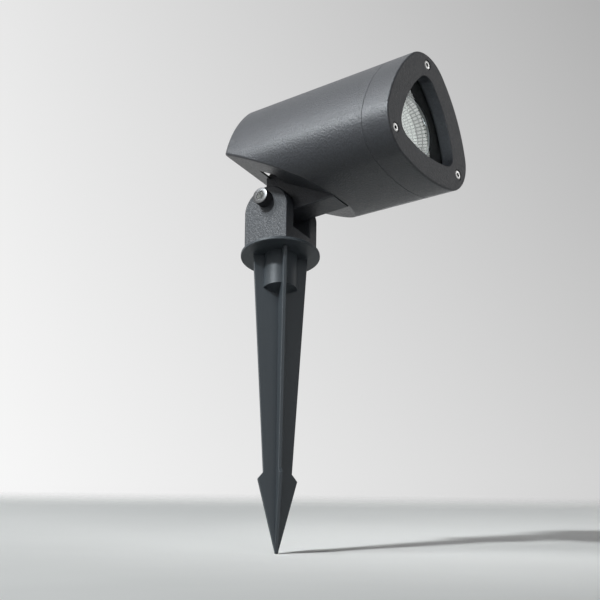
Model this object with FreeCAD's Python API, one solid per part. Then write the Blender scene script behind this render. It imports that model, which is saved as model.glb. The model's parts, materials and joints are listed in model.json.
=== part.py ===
"""Garden spike spotlight: a die-cast lamp head on a forked bracket, on a ground spike.

Millimetres. +X is the way the beam points, +Z is up along the spike, Y is the tilt pin's axis.
The origin is on the spike's axis, on the underside of its flange: the ground line.
"""
import FreeCAD, Part
import math
import os

V = FreeCAD.Vector
X_AXIS = V(1, 0, 0)
Y_AXIS = V(0, 1, 0)
Z_AXIS = V(0, 0, 1)

# ---------------------------------------------------------------- driving dimensions
# Head outline: a triangle with three bowed sides and round corners, one corner up.
HEAD_AXIS_Z = 77.4            # height of the lamp's axis above the ground line
CORNER_REACH = 58.6           # lamp axis to the tip of a corner, at the front face
SIDE_REACH = 47.9             # lamp axis to the middle of a side, at the front face
CORNER_RADIUS = 30.3
REAR_SIDE_REACH = 42.6        # the casting's draft makes the rear end this much smaller
FACE_X = 132.3                # front face
REAR_X = -21.6                # rear end
CAP_DEPTH = 24.3              # front face to the parting line
WALL = 4.0                    # walls of the housing and the cap
EDGE_ROUND = 1.2              # rounding of the cap's front edge
REAR_ROUND = 4.2              # rounding of the rear end's edge
CUT_ROUND = 1.5               # rounding of the oblique cut's edges
PARTING_ROUND = 0.4           # rounding of both castings where they meet
CUT_ANGLE = 28.4              # the underside's oblique cut, against the lamp axis
CUT_REAR_Z = 74.3             # height of the cut where it meets the rear end

# Window, glass and the ring behind it
WINDOW_INSET = 19.2           # window edge inside the head's outline
WINDOW_DEPTH = 9.0            # depth of the window's straight wall
WINDOW_ROUND = 0.6
GLASS_LAP = 4.6               # how far the glass reaches under the window's edge
GLASS_THICKNESS = 2.8
GLASS_CLEARANCE = 0.4
SEAL_THICKNESS = 1.0
SEAL_WIDTH = 3.6
BAFFLE_THICKNESS = 1.5
BAFFLE_LAP = 8.2              # how far the baffle reaches past the glass
CAP_SEAL_WIDTH = 1.6
CAP_SEAL_DEPTH = 1.5

# Cap screws (M4 socket head)
CAP_SCREW_INSET = 8.6         # screw's axis inside the corner of the outline
CAP_SCREW_LENGTH = 30.0
CAP_SCREW_SINK = 0.3          # top of the screw's head below the front face
CAP_BOSS_RADIUS = 6.5
CAP_BOSS_LENGTH = 20.0
M4_RADIUS = 2.0
M4_HEAD_RADIUS = 3.5
M4_HEAD_HEIGHT = 4.0
M4_SOCKET = 3.0               # across flats
SOCKET_SHARE = 0.6            # depth of a socket, as a share of the head's height
HEAD_ROUND_SHARE = 1 / 12     # rounding of a head's rim, as a share of its radius
M3_RADIUS = 1.5
M3_HEAD_RADIUS = 2.75
M3_HEAD_HEIGHT = 1.8
M3_SLOT = 0.7
COUNTERBORE_GAP = 0.7
SCREW_CLEARANCE = 0.3
SCREW_END_GAP = 1.0           # between a screw's end and the end of its hole
BAFFLE_SCREW_INSET = 9.5      # screw's axis inside the side of the outline
BAFFLE_SCREW_LENGTH = 5.0

# Rear pocket for the cable's entry
POCKET_HALF_WIDTH = 25.0
POCKET_TOP_Z = 110.0
POCKET_CORNER = 14.0
POCKET_FRONT_X = 11.0
POCKET_FLOOR_X = -3.5         # front edge of the floor plate; the pocket is open below ahead of it
POCKET_FLOOR = 1.6            # thickness of the floor plate
ENTRY_DROP = 14.0             # cable gland's axis below the pocket's top

# Arm below the head
ARM_WIDTH = 20.3
ARM_REAR_X = -7.2
ARM_BOTTOM_Z = 31.7
ARM_FRONT_X = 54.6
ARM_BEND_Z = 66.0             # height where the arm's rear edge starts to lean forward
ARM_NOSE_ROUND = 3.0
ARM_EDGE_ROUND = 1.0

# Tilt pin (M8)
PIN_Z = 40.5
PIN_RADIUS = 4.0
PIN_FIT = 0.05                # running fit, radial
M8_HEAD_RADIUS = 6.5
M8_HEAD_HEIGHT = 8.0
M8_LOW_HEAD_HEIGHT = 5.0
M8_SOCKET = 6.0               # across flats
M8_NUT_FLATS = 13.0
M8_NUT_HEIGHT = 8.0
M8_NUT_BEVEL = 1.2
M8_NUT_HEX_HEIGHT = 5.6       # below the lock nut's round collar
M8_NUT_COLLAR_RADIUS = 5.9
M8_WASHER_RADIUS = 8.0
M8_WASHER_THICKNESS = 1.6
PIN_END_STAND = 1.5           # thread showing past the nut

# Forked bracket
FORK_HALF_DEPTH = 19.2        # half its size along X
EAR_OUTER_Y = 20.8
SHIM_THICKNESS = 0.75         # friction washer each side of the arm
SHIM_RADIUS = 8.0
SLOT_FLOOR_Z = 15.9
EAR_ARCH_Z = 32.8             # centre of the ears' round tops
FORK_EDGE_ROUND = 1.0

# Spike
FLANGE_RADIUS = 30.0
FLANGE_THICKNESS = 2.5
FLANGE_ROUND = 0.5
TUBE_RADIUS = 13.0
TUBE_LENGTH = 28.0
TUBE_END_RADIUS = 3.0
TUBE_END_LENGTH = 4.0
BLADE_THICKNESS = 2.8
BLADE_ROUND = 0.5
BLADE_TURN = 45.0             # first blade against the beam direction
BLADE_TOP_REACH = 20.8
BLADE_NECK_REACH = 10.9
BLADE_NECK_Z = -183.5
BARB_REACH = 15.0
BARB_Z = -189.3
TIP_REACH = 1.0
TIP_Z = -250.0
INSERT_RADIUS = 6.0
INSERT_LENGTH = 16.0
INSERT_WELL = 10.0            # free depth of the tube's bore below the insert
SWIVEL_BOLT_LENGTH = 25.0

# Lamp (50 mm reflector lamp on a two-pin twist base)
LAMP_RADIUS = 25.0
LAMP_RIM_SETBACK = 14.0       # rim behind the front face
LAMP_RIM_WIDTH = 1.0
LAMP_LENGTH = 52.0            # rim to the end of the base
LAMP_SHOULDER = 35.0          # rim to the neck
LAMP_NECK_RADIUS = 12.0
LAMP_GLASS = 1.6
LAMP_COVER_THICKNESS = 1.0
BOWL_DEPTH = 24.0
BOWL_THROAT_RADIUS = 5.0
BURNER_RADIUS = 3.6
BURNER_LENGTH = 15.0
LAMP_PIN_SPACING = 10.0
LAMP_PIN_RADIUS = 1.6
LAMP_PIN_LENGTH = 7.0
LAMP_CLEARANCE = 0.5
LAMP_RIM_HEIGHT = 4.0         # straight part of the reflector's outside
LAMP_WAIST_RADIUS = 20.8      # outside, half way to the shoulder
LAMP_BASE_STEP = 10.2         # straight part of the base
LAMP_BASE_END_RADIUS = 10.0
BOWL_STEPS = 8

# Lampholder and its bracket
HOLDER_RADIUS = 13.5
HOLDER_LENGTH = 15.0
HOLDER_SCREW_SPACING = 18.0
HOLDER_SCREW_LENGTH = 10.5
HOLDER_WEB = 2.0              # between a pin's hole and its wire's hole
BRACKET_SHEET = 1.5
BRACKET_LEG_Y = 20.5
BRACKET_HALF_HEIGHT = 12.5
BRACKET_FOOT = 12.0           # length of a foot
FOOT_BOSS_RADIUS = 4.5
FOOT_SCREW_LENGTH = 8.0

# Terminal block and wires
BLOCK_LENGTH = 27.0
BLOCK_HEIGHT = 16.0
BLOCK_DEPTH = 13.0
POLE_COUNT = 3
POLE_PITCH = 8.0
POLE_SCREW_RADIUS = 1.5
POLE_SCREW_HEIGHT = 3.0
WIRE_RADIUS = 0.9
WIRE_HOLE_RADIUS = 1.5
LOOP_GAP = 2.8                # between the middle line of the leads' loops and the gland
EARTH_Y = 16.0                # earth screw, beside the lampholder
EARTH_RISE = 6.0              # earth screw above the lamp's axis
TAG_RADIUS = 3.6
TAG_THICKNESS = 0.8
TAG_BARREL = 5.0
EARTH_SCREW_LENGTH = 3.3
BEND_SHARE = 0.45             # share of a lead's run that goes into the bend at its end

# Cable gland (M16)
GLAND_THREAD_RADIUS = 8.0
GLAND_FLATS = 19.0
GLAND_HEX_LENGTH = 5.0
GLAND_DOME_LENGTH = 13.0
GLAND_COLLAR = 7.2            # hexagonal part of the domed nut
GLAND_DOME_RADIUS = 6.6
GLAND_NUT_LENGTH = 4.5
GLAND_END_STAND = 1.0         # thread past the lock nut
CABLE_RADIUS = 4.0
GLAND_SEAL_RADIUS = 6.0
GLAND_SEAL_LENGTH = 9.0

# ---------------------------------------------------------------- worked out from them
PARTING_X = FACE_X - CAP_DEPTH
CORNERS = (90, -30, 210)      # polar angles of the outline's corners, seen along the beam axis
SIDES = (-90, 30, 150)
CUT_SLOPE = math.tan(math.radians(CUT_ANGLE))
WINDOW_BACK_X = FACE_X - WINDOW_DEPTH
GLASS_FRONT_X = WINDOW_BACK_X - SEAL_THICKNESS
GLASS_BACK_X = GLASS_FRONT_X - GLASS_THICKNESS
GLASS_INSET = WINDOW_INSET - GLASS_LAP
BAFFLE_INSET = GLASS_INSET - BAFFLE_LAP
LAMP_RIM_X = FACE_X - LAMP_RIM_SETBACK
LAMP_BASE_X = LAMP_RIM_X - LAMP_LENGTH
HOLDER_REAR_X = LAMP_BASE_X - HOLDER_LENGTH
BRACKET_X = HOLDER_REAR_X - BRACKET_SHEET
CHAMBER_REAR_X = POCKET_FRONT_X + WALL
SLOT_HALF_WIDTH = ARM_WIDTH / 2 + SHIM_THICKNESS
FOOT_SCREW_Y = POCKET_HALF_WIDTH + FOOT_BOSS_RADIUS
CAP_HEAD_X = FACE_X - CAP_SCREW_SINK - M4_HEAD_HEIGHT
CAP_SCREW_CIRCLE = CORNER_REACH - CAP_SCREW_INSET
BAFFLE_SCREW_CIRCLE = SIDE_REACH - BAFFLE_SCREW_INSET
ENTRY_Z = POCKET_TOP_Z - ENTRY_DROP
GLAND_END_X = CHAMBER_REAR_X + GLAND_NUT_LENGTH + GLAND_END_STAND
BLOCK_REAR_X = HOLDER_REAR_X - BLOCK_DEPTH
BLOCK_LOW = HEAD_AXIS_Z + BRACKET_HALF_HEIGHT
WIRE_LOOP = BLOCK_REAR_X - GLAND_END_X - LOOP_GAP  # how far the leads stand out behind the block
PAST = 5.0                    # how far a cutting tool runs past what it cuts
FLAT = 1e-3                   # how close an edge lies to a plane or axis to count as on it


# ---------------------------------------------------------------- helpers
def rod(radius, start, direction, length):
    """A solid cylinder from `start` along `direction`."""
    return Part.makeCylinder(radius, length, start, direction)


def block(low, high):
    """A box between two opposite corners."""
    size = V(*high) - V(*low)
    return Part.makeBox(size.x, size.y, size.z, V(*low))


def prism(points, direction):
    """A solid from a closed run of points, pushed along `direction`."""
    corners = [V(*p) for p in points]
    face = Part.Face(Part.makePolygon(corners + corners[:1]))
    return face.extrude(direction)


def hexagon(flats, start, direction, length):
    """A hexagonal bar, `flats` across, from `start` along `direction`."""
    reach = flats / 2 / math.cos(math.radians(30))
    side = Z_AXIS if abs(direction.z) < 0.5 else X_AXIS
    across = direction.cross(side)
    points = []
    for i in range(6):
        turn = math.radians(60 * i)
        points.append(start + side * (reach * math.cos(turn)) + across * (reach * math.sin(turn)))
    return prism(points, direction * length)


def turned(profile, start, direction):
    """A solid of revolution from (distance along `direction`, radius) points."""
    side = Z_AXIS if abs(direction.z) < 0.5 else X_AXIS
    points = [start + direction * along + side * radius for along, radius in profile]
    face = Part.Face(Part.makePolygon(points + points[:1]))
    return face.revolve(start, direction, 360)


def ring(outer, inner, start, direction, length):
    """A flat ring, or a tube."""
    past = direction * PAST
    return rod(outer, start, direction, length).cut(rod(inner, start - past, direction, length + 2 * PAST))


def on_circle(radius, degrees, x):
    """A point round the lamp's axis."""
    turn = math.radians(degrees)
    return V(x, radius * math.cos(turn), HEAD_AXIS_Z + radius * math.sin(turn))


def shrink_at(x):
    """The outline's scale at x: the draft of the casting, 1 at the front face."""
    rear = REAR_SIDE_REACH / SIDE_REACH
    return 1 - (1 - rear) * (FACE_X - x) / (FACE_X - REAR_X)


def outline(x, inset=0.0, scale=1.0):
    """The head's outline at x, as a wire of six arcs, `inset` inside the scaled outline."""
    corner_at = CORNER_REACH - CORNER_RADIUS
    gap = SIDE_REACH - CORNER_RADIUS
    side_at = (gap ** 2 - corner_at ** 2) / (corner_at - 2 * gap)
    side_radius = (side_at + SIDE_REACH) * scale - inset
    corner_radius = CORNER_RADIUS * scale - inset
    half = math.degrees(math.atan(corner_at * math.sin(math.radians(60)) / (corner_at / 2 + side_at)))
    edges = []
    for side, corner in zip(SIDES, (-30, 90, 210)):
        side_centre = on_circle(side_at * scale, side + 180, x)
        corner_centre = on_circle(corner_at * scale, corner, x)
        runs = ((side_centre, side_radius, side - half, side + half),
                (corner_centre, corner_radius, side + half, side + 120 - half))
        for centre, radius, start, end in runs:
            arc = [centre + on_circle(radius, turn, 0) - V(0, 0, HEAD_AXIS_Z)
                   for turn in (start, (start + end) / 2, end)]
            edges.append(Part.Arc(*arc).toShape())
    return Part.Wire(edges)


def slab(rear_x, front_x, inset, scale=1.0):
    """A straight solid of the head's outline."""
    return Part.Face(outline(rear_x, inset, scale)).extrude(X_AXIS * (front_x - rear_x))


def drafted(rear_x, front_x, inset=0.0):
    """A solid of the head's outline that narrows to the rear with the casting's draft."""
    wires = [outline(x, inset, shrink_at(x)) for x in (rear_x, front_x)]
    return Part.makeLoft(wires, True, True)


def cut_height(x):
    """Height of the underside's oblique cut at x."""
    return CUT_REAR_Z - CUT_SLOPE * (x - REAR_X)


def below_cut(raise_by=0.0):
    """Everything below the oblique cut, as a tool, lifted square to it by `raise_by`."""
    lift = raise_by / math.cos(math.radians(CUT_ANGLE))
    width = 2 * CORNER_REACH
    rear, front = REAR_X - PAST, FACE_X
    points = [(rear, -width, cut_height(rear) + lift), (front, -width, cut_height(front) + lift),
              (front, -width, cut_height(rear) - 4 * width), (rear, -width, cut_height(rear) - 4 * width)]
    return prism(points, Y_AXIS * (2 * width))


def edges_at_x(shape, x):
    """The edges of `shape` that lie in the plane at x."""
    return [e for e in shape.Edges if abs(e.BoundBox.XMin - x) < FLAT and abs(e.BoundBox.XMax - x) < FLAT]


def on_cut(edge):
    """Whether an edge lies in the plane of the oblique cut."""
    first, last = edge.FirstParameter, edge.LastParameter
    points = [edge.valueAt(at) for at in (first, (first + last) / 2, last)]
    return all(abs(point.z - cut_height(point.x)) < FLAT for point in points)


def reach_of(edge):
    """The farthest of an edge's ends from the lamp's axis."""
    return max(math.hypot(v.Y, v.Z - HEAD_AXIS_Z) for v in edge.Vertexes)


# ---------------------------------------------------------------- fasteners
def socket_screw(head, direction, radius, length, head_radius, head_height, flats):
    """A socket head screw: `head` is the underside of its head, `direction` the way it is driven."""
    top = head - direction * head_height
    screw = rod(head_radius, top, direction, head_height).fuse(rod(radius, head, direction, length))
    rim = head_radius * HEAD_ROUND_SHARE
    screw = screw.removeSplitter()
    outer = [e for e in screw.Edges if e.BoundBox.Center.distanceToPoint(top) < FLAT and e.Closed]
    screw = screw.makeFillet(rim, outer)
    return screw.cut(hexagon(flats, top - direction * PAST, direction, PAST + head_height * SOCKET_SHARE))


def slotted_screw(head, direction, length):
    """An M3 cheese head screw."""
    top = head - direction * M3_HEAD_HEIGHT
    screw = rod(M3_HEAD_RADIUS, top, direction, M3_HEAD_HEIGHT)
    screw = screw.fuse(rod(M3_RADIUS, head, direction, length))
    reach = V(M3_HEAD_HEIGHT / 2, M3_HEAD_RADIUS * 2, M3_SLOT / 2)
    return screw.cut(block(tuple(top - reach), tuple(top + reach)))


# ---------------------------------------------------------------- spike and its swivel
def ground_spike():
    """Flange, closed tube and four barbed blades, moulded in one."""
    flange = rod(FLANGE_RADIUS, V(0, 0, 0), Z_AXIS, FLANGE_THICKNESS)
    rims = [e for e in flange.Edges if e.Closed and e.BoundBox.ZLength < FLAT]
    flange = flange.makeFillet(FLANGE_ROUND, rims)
    spike = flange.fuse(turned([(0, 0), (0, TUBE_RADIUS), (TUBE_LENGTH, TUBE_RADIUS),
                                (TUBE_LENGTH + TUBE_END_LENGTH, TUBE_END_RADIUS),
                                (TUBE_LENGTH + TUBE_END_LENGTH, 0)], V(0, 0, 0), -Z_AXIS))
    half = BLADE_THICKNESS / 2
    side = [(BLADE_TOP_REACH, 0), (BLADE_NECK_REACH, BLADE_NECK_Z), (BARB_REACH, BARB_Z),
            (TIP_REACH, TIP_Z)]
    for turn in (0, 90):
        points = [(r, -half, z) for r, z in side] + [(-r, -half, z) for r, z in reversed(side)]
        pair = prism(points, Y_AXIS * BLADE_THICKNESS)
        edges = [e for e in pair.Edges if e.BoundBox.YLength < FLAT and e.BoundBox.ZMin < -FLAT]
        pair = pair.makeFillet(BLADE_ROUND, edges)
        pair.rotate(V(0, 0, 0), Z_AXIS, BLADE_TURN + turn)
        spike = spike.fuse(pair)
    spike = spike.removeSplitter()
    well = FLANGE_THICKNESS - INSERT_LENGTH
    spike = spike.cut(rod(INSERT_RADIUS, V(0, 0, well), Z_AXIS, INSERT_LENGTH + PAST))
    well_end = V(0, 0, well - INSERT_WELL)
    return spike.cut(rod(PIN_RADIUS + SCREW_CLEARANCE, well_end, Z_AXIS, INSERT_WELL + PAST))


def spike_insert():
    """Brass threaded insert that takes the swivel bolt."""
    return ring(INSERT_RADIUS, PIN_RADIUS, V(0, 0, FLANGE_THICKNESS - INSERT_LENGTH), Z_AXIS, INSERT_LENGTH)


def swivel_washer():
    return ring(M8_WASHER_RADIUS, PIN_RADIUS + SCREW_CLEARANCE, V(0, 0, SLOT_FLOOR_Z), Z_AXIS,
                M8_WASHER_THICKNESS)


def swivel_bolt():
    head = V(0, 0, SLOT_FLOOR_Z + M8_WASHER_THICKNESS)
    return socket_screw(head, -Z_AXIS, PIN_RADIUS, SWIVEL_BOLT_LENGTH, M8_HEAD_RADIUS,
                        M8_LOW_HEAD_HEIGHT, M8_SOCKET)


# ---------------------------------------------------------------- forked bracket and tilt pin
def fork_bracket():
    """Base block with two round-topped ears."""
    deep, wide = FORK_HALF_DEPTH, EAR_OUTER_Y
    body = block((-deep, -wide, FLANGE_THICKNESS), (deep, wide, EAR_ARCH_Z))
    body = body.fuse(rod(deep, V(0, -wide, EAR_ARCH_Z), Y_AXIS, 2 * wide)).removeSplitter()
    body = body.cut(block((-deep - PAST, -SLOT_HALF_WIDTH, SLOT_FLOOR_Z),
                          (deep + PAST, SLOT_HALF_WIDTH, EAR_ARCH_Z + deep + PAST)))
    ear_edges = [e for e in body.Edges if e.BoundBox.YLength < FLAT and e.BoundBox.ZMax > EAR_ARCH_Z - FLAT]
    body = body.makeFillet(FORK_EDGE_ROUND, ear_edges)
    body = body.cut(rod(PIN_RADIUS + PIN_FIT, V(0, -wide - PAST, PIN_Z), Y_AXIS, 2 * (wide + PAST)))
    return body.cut(rod(PIN_RADIUS + SCREW_CLEARANCE, V(0, 0, 0), Z_AXIS, SLOT_FLOOR_Z + PAST))


def tilt_shims():
    """Friction washers, one between each ear and the arm."""
    near = ring(SHIM_RADIUS, PIN_RADIUS + PIN_FIT, V(0, -SLOT_HALF_WIDTH, PIN_Z), Y_AXIS, SHIM_THICKNESS)
    far = ring(SHIM_RADIUS, PIN_RADIUS + PIN_FIT, V(0, ARM_WIDTH / 2, PIN_Z), Y_AXIS, SHIM_THICKNESS)
    return Part.makeCompound([near, far])


def tilt_bolt():
    length = 2 * EAR_OUTER_Y + M8_WASHER_THICKNESS + M8_NUT_HEIGHT + PIN_END_STAND
    return socket_screw(V(0, -EAR_OUTER_Y, PIN_Z), Y_AXIS, PIN_RADIUS, length, M8_HEAD_RADIUS,
                        M8_HEAD_HEIGHT, M8_SOCKET)


def tilt_washer():
    return ring(M8_WASHER_RADIUS, PIN_RADIUS + PIN_FIT, V(0, EAR_OUTER_Y, PIN_Z), Y_AXIS,
                M8_WASHER_THICKNESS)


def tilt_nut():
    """Lock nut: a hexagon with a round collar at its outer end."""
    start = V(0, EAR_OUTER_Y + M8_WASHER_THICKNESS, PIN_Z)
    end, radius, bevel = M8_NUT_HEX_HEIGHT, M8_NUT_FLATS / 2, M8_NUT_BEVEL
    nut = hexagon(M8_NUT_FLATS, start, Y_AXIS, end)
    nut = nut.common(turned([(0, 0), (0, radius), (bevel, radius + bevel), (end - bevel, radius + bevel),
                             (end, radius), (end, 0)], start, Y_AXIS))
    nut = nut.fuse(rod(M8_NUT_COLLAR_RADIUS, start, Y_AXIS, M8_NUT_HEIGHT))
    return nut.cut(rod(PIN_RADIUS, start - Y_AXIS * PAST, Y_AXIS, M8_NUT_HEIGHT + 2 * PAST))


# ---------------------------------------------------------------- head castings
def pocket(grow, rear_x, front_x):
    """The rear pocket's hollow, or with `grow` the block that walls it in."""
    half = POCKET_HALF_WIDTH + grow
    top = POCKET_TOP_Z + grow
    shape = block((rear_x, -half, PIN_Z), (front_x, half, top))
    top_edges = [e for e in shape.Edges if e.BoundBox.ZMin > top - FLAT and e.BoundBox.XLength > FLAT]
    return shape.makeFillet(POCKET_CORNER + grow, top_edges)


def arm():
    """The plate below the head that sits in the fork."""
    lean = POCKET_FRONT_X + WALL - ARM_REAR_X
    half = ARM_WIDTH / 2
    top = cut_height(ARM_FRONT_X) + WALL
    points = [(ARM_REAR_X, -half, ARM_BOTTOM_Z),
              (ARM_FRONT_X, -half, HEAD_AXIS_Z - SIDE_REACH * shrink_at(ARM_FRONT_X)),
              (ARM_FRONT_X, -half, top),
              (CHAMBER_REAR_X, -half, ARM_BEND_Z + lean), (ARM_REAR_X, -half, ARM_BEND_Z)]
    plate = prism(points, Y_AXIS * ARM_WIDTH)
    nose = [e for e in plate.Edges if e.BoundBox.ZMax < ARM_BOTTOM_Z + FLAT and e.BoundBox.XMax < 0]
    plate = plate.makeFillet(ARM_NOSE_ROUND, nose)
    sides = [e for e in plate.Edges if e.BoundBox.YLength < FLAT]
    seen = [e for e in sides if e.BoundBox.XMax < ARM_FRONT_X - FLAT or e.BoundBox.ZMax < top - FLAT]
    return plate.makeFillet(ARM_EDGE_ROUND, seen)


def cap_screw_posts(start_x, length, radius):
    """Three rods on the cap screws' axes."""
    rods = [rod(radius, on_circle(CAP_SCREW_CIRCLE, a, start_x), X_AXIS, length) for a in CORNERS]
    return rods[0].multiFuse(rods[1:])


def chamber():
    """The hollow of the housing that holds the lamp."""
    space = drafted(REAR_X + WALL, PARTING_X, WALL)
    space = space.cut(below_cut(WALL))
    space = space.cut(pocket(WALL, REAR_X - PAST, CHAMBER_REAR_X))
    for side in (-1, 1):
        start = V(CHAMBER_REAR_X - FOOT_SCREW_LENGTH - WALL, side * FOOT_SCREW_Y, HEAD_AXIS_Z)
        space = space.cut(rod(FOOT_BOSS_RADIUS, start, X_AXIS, FOOT_SCREW_LENGTH + WALL))
    return space.cut(cap_screw_posts(PARTING_X - CAP_BOSS_LENGTH, CAP_BOSS_LENGTH + PAST, CAP_BOSS_RADIUS))


def outer_form():
    """The housing's outside: drafted, cut off obliquely below, with rounded rear edges."""
    body = drafted(REAR_X, PARTING_X)
    body = body.makeFillet(REAR_ROUND, edges_at_x(body, REAR_X)).cut(below_cut())
    body = body.makeFillet(CUT_ROUND, [e for e in body.Edges if on_cut(e)])
    return body.makeFillet(PARTING_ROUND, edges_at_x(body, PARTING_X))


def housing():
    """Main casting: outer form, lamp chamber, rear pocket and arm."""
    hollow = chamber()
    body = outer_form().cut(hollow)
    rear_opening = pocket(0, REAR_X - PAST, POCKET_FRONT_X)
    behind = block((REAR_X - 2 * PAST, -CORNER_REACH, 0), (POCKET_FLOOR_X, CORNER_REACH, 2 * HEAD_AXIS_Z))
    body = body.cut(rear_opening.cut(below_cut(POCKET_FLOOR).common(behind)))
    body = body.fuse(arm().cut(hollow)).removeSplitter()
    body = body.cut(rod(PIN_RADIUS + PIN_FIT, V(0, -ARM_WIDTH, PIN_Z), Y_AXIS, 2 * ARM_WIDTH))
    body = body.cut(rod(GLAND_THREAD_RADIUS, V(POCKET_FRONT_X - PAST, 0, ENTRY_Z), X_AXIS, WALL + 2 * PAST))
    for side in (-1, 1):
        start = V(CHAMBER_REAR_X - FOOT_SCREW_LENGTH, side * FOOT_SCREW_Y, HEAD_AXIS_Z)
        body = body.cut(rod(M4_RADIUS, start, X_AXIS, FOOT_SCREW_LENGTH + PAST))
    screw_end = CAP_HEAD_X - CAP_SCREW_LENGTH
    body = body.cut(cap_screw_posts(screw_end - SCREW_END_GAP, PARTING_X - screw_end + PAST, M4_RADIUS))
    return body.cut(seal_groove())


def seal_groove():
    """The ring-shaped groove in the housing's front rim, and the cord seal that fills it."""
    scale = shrink_at(PARTING_X)
    inset = (WALL - CAP_SEAL_WIDTH) / 2
    outer = slab(PARTING_X - CAP_SEAL_DEPTH, PARTING_X, inset, scale)
    return outer.cut(slab(PARTING_X - CAP_SEAL_DEPTH - PAST, PARTING_X + PAST, inset + CAP_SEAL_WIDTH, scale))


def front_cap():
    """Front casting: face plate with the window, rim, and the seat of the glass."""
    body = drafted(PARTING_X, FACE_X)
    body = body.makeFillet(EDGE_ROUND, edges_at_x(body, FACE_X))
    body = body.makeFillet(PARTING_ROUND, edges_at_x(body, PARTING_X))
    body = body.cut(slab(WINDOW_BACK_X - PAST, FACE_X + PAST, WINDOW_INSET))
    mouth = [e for e in edges_at_x(body, FACE_X) if reach_of(e) < SIDE_REACH - EDGE_ROUND]
    body = body.makeFillet(WINDOW_ROUND, mouth)
    body = body.cut(slab(GLASS_BACK_X - PAST, WINDOW_BACK_X, GLASS_INSET - GLASS_CLEARANCE))
    hollow = slab(PARTING_X - PAST, GLASS_BACK_X, WALL, shrink_at(PARTING_X))
    posts = cap_screw_posts(PARTING_X - 2 * PAST, CAP_DEPTH, CAP_BOSS_RADIUS)
    body = body.cut(hollow.cut(posts))
    bores = cap_screw_posts(PARTING_X - PAST, CAP_DEPTH + 2 * PAST, M4_RADIUS + SCREW_CLEARANCE)
    body = body.cut(bores)
    body = body.cut(cap_screw_posts(CAP_HEAD_X, M4_HEAD_HEIGHT + PAST, M4_HEAD_RADIUS + COUNTERBORE_GAP))
    for degrees in SIDES:
        start = on_circle(BAFFLE_SCREW_CIRCLE, degrees, GLASS_BACK_X - PAST)
        body = body.cut(rod(M3_RADIUS, start, X_AXIS, PAST + BAFFLE_SCREW_LENGTH - BAFFLE_THICKNESS))
    return body


def cap_screws():
    screws = [socket_screw(on_circle(CAP_SCREW_CIRCLE, a, CAP_HEAD_X), -X_AXIS, M4_RADIUS, CAP_SCREW_LENGTH,
                           M4_HEAD_RADIUS, M4_HEAD_HEIGHT, M4_SOCKET) for a in CORNERS]
    return Part.makeCompound(screws)


# ---------------------------------------------------------------- glass and baffle
def glass_seal():
    outer = slab(GLASS_FRONT_X, WINDOW_BACK_X, GLASS_INSET)
    return outer.cut(slab(GLASS_FRONT_X - PAST, WINDOW_BACK_X + PAST, GLASS_INSET + SEAL_WIDTH))


def lens_glass():
    return slab(GLASS_BACK_X, GLASS_FRONT_X, GLASS_INSET)


def baffle_ring():
    """Black plate behind the glass: holds the glass in and hides the chamber."""
    plate = slab(GLASS_BACK_X - BAFFLE_THICKNESS, GLASS_BACK_X, BAFFLE_INSET)
    centre = V(GLASS_BACK_X - BAFFLE_THICKNESS - PAST, 0, HEAD_AXIS_Z)
    plate = plate.cut(rod(LAMP_RADIUS + LAMP_CLEARANCE, centre, X_AXIS, BAFFLE_THICKNESS + 2 * PAST))
    for degrees in CORNERS:
        start = on_circle(CAP_SCREW_CIRCLE, degrees, centre.x)
        plate = plate.cut(rod(CAP_BOSS_RADIUS + SCREW_CLEARANCE, start, X_AXIS, BAFFLE_THICKNESS + 2 * PAST))
    for degrees in SIDES:
        start = on_circle(BAFFLE_SCREW_CIRCLE, degrees, centre.x)
        plate = plate.cut(rod(M3_RADIUS + SCREW_CLEARANCE, start, X_AXIS, BAFFLE_THICKNESS + 2 * PAST))
    return plate


def baffle_screws():
    seat = GLASS_BACK_X - BAFFLE_THICKNESS
    screws = [slotted_screw(on_circle(BAFFLE_SCREW_CIRCLE, a, seat), X_AXIS, BAFFLE_SCREW_LENGTH) for a in SIDES]
    return Part.makeCompound(screws)


# ---------------------------------------------------------------- lamp
def lamp_axis(x):
    return V(x, 0, HEAD_AXIS_Z)


def bowl_profile():
    """The reflector's parabola as (distance behind its mouth, radius) points."""
    mouth = LAMP_RADIUS - LAMP_RIM_WIDTH
    points = []
    for i in range(BOWL_STEPS + 1):
        radius = mouth + (BOWL_THROAT_RADIUS - mouth) * i / BOWL_STEPS
        depth = BOWL_DEPTH * (1 - ((radius - BOWL_THROAT_RADIUS) / (mouth - BOWL_THROAT_RADIUS)) ** 2)
        points.append((depth, radius))
    return points


def lamp_bowl():
    """Pressed-glass reflector of the lamp: hollow bowl in front, solid neck behind."""
    cover = LAMP_COVER_THICKNESS
    inside = [(cover + depth, radius) for depth, radius in bowl_profile()]
    outside = [(0, LAMP_RADIUS), (LAMP_RIM_HEIGHT, LAMP_RADIUS), (LAMP_SHOULDER / 2, LAMP_WAIST_RADIUS),
               (LAMP_SHOULDER, LAMP_NECK_RADIUS), (LAMP_SHOULDER, 0)]
    throat_end = cover + BOWL_DEPTH + LAMP_GLASS * 2
    throat = [(throat_end, 0), (throat_end, BOWL_THROAT_RADIUS)]
    profile = [(0, LAMP_RADIUS - LAMP_RIM_WIDTH)] + outside + throat + list(reversed(inside))
    return turned(profile, lamp_axis(LAMP_RIM_X), -X_AXIS)


def lamp_cover():
    return rod(LAMP_RADIUS - LAMP_RIM_WIDTH, lamp_axis(LAMP_RIM_X), -X_AXIS, LAMP_COVER_THICKNESS)


def lamp_burner():
    """Small capsule at the bowl's centre."""
    foot = LAMP_RIM_X - LAMP_COVER_THICKNESS - BOWL_DEPTH - LAMP_GLASS * 2
    tip = BURNER_RADIUS / 2
    return turned([(0, 0), (0, BURNER_RADIUS), (BURNER_LENGTH - tip, BURNER_RADIUS),
                   (BURNER_LENGTH, tip), (BURNER_LENGTH, 0)], lamp_axis(foot), X_AXIS)


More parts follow.
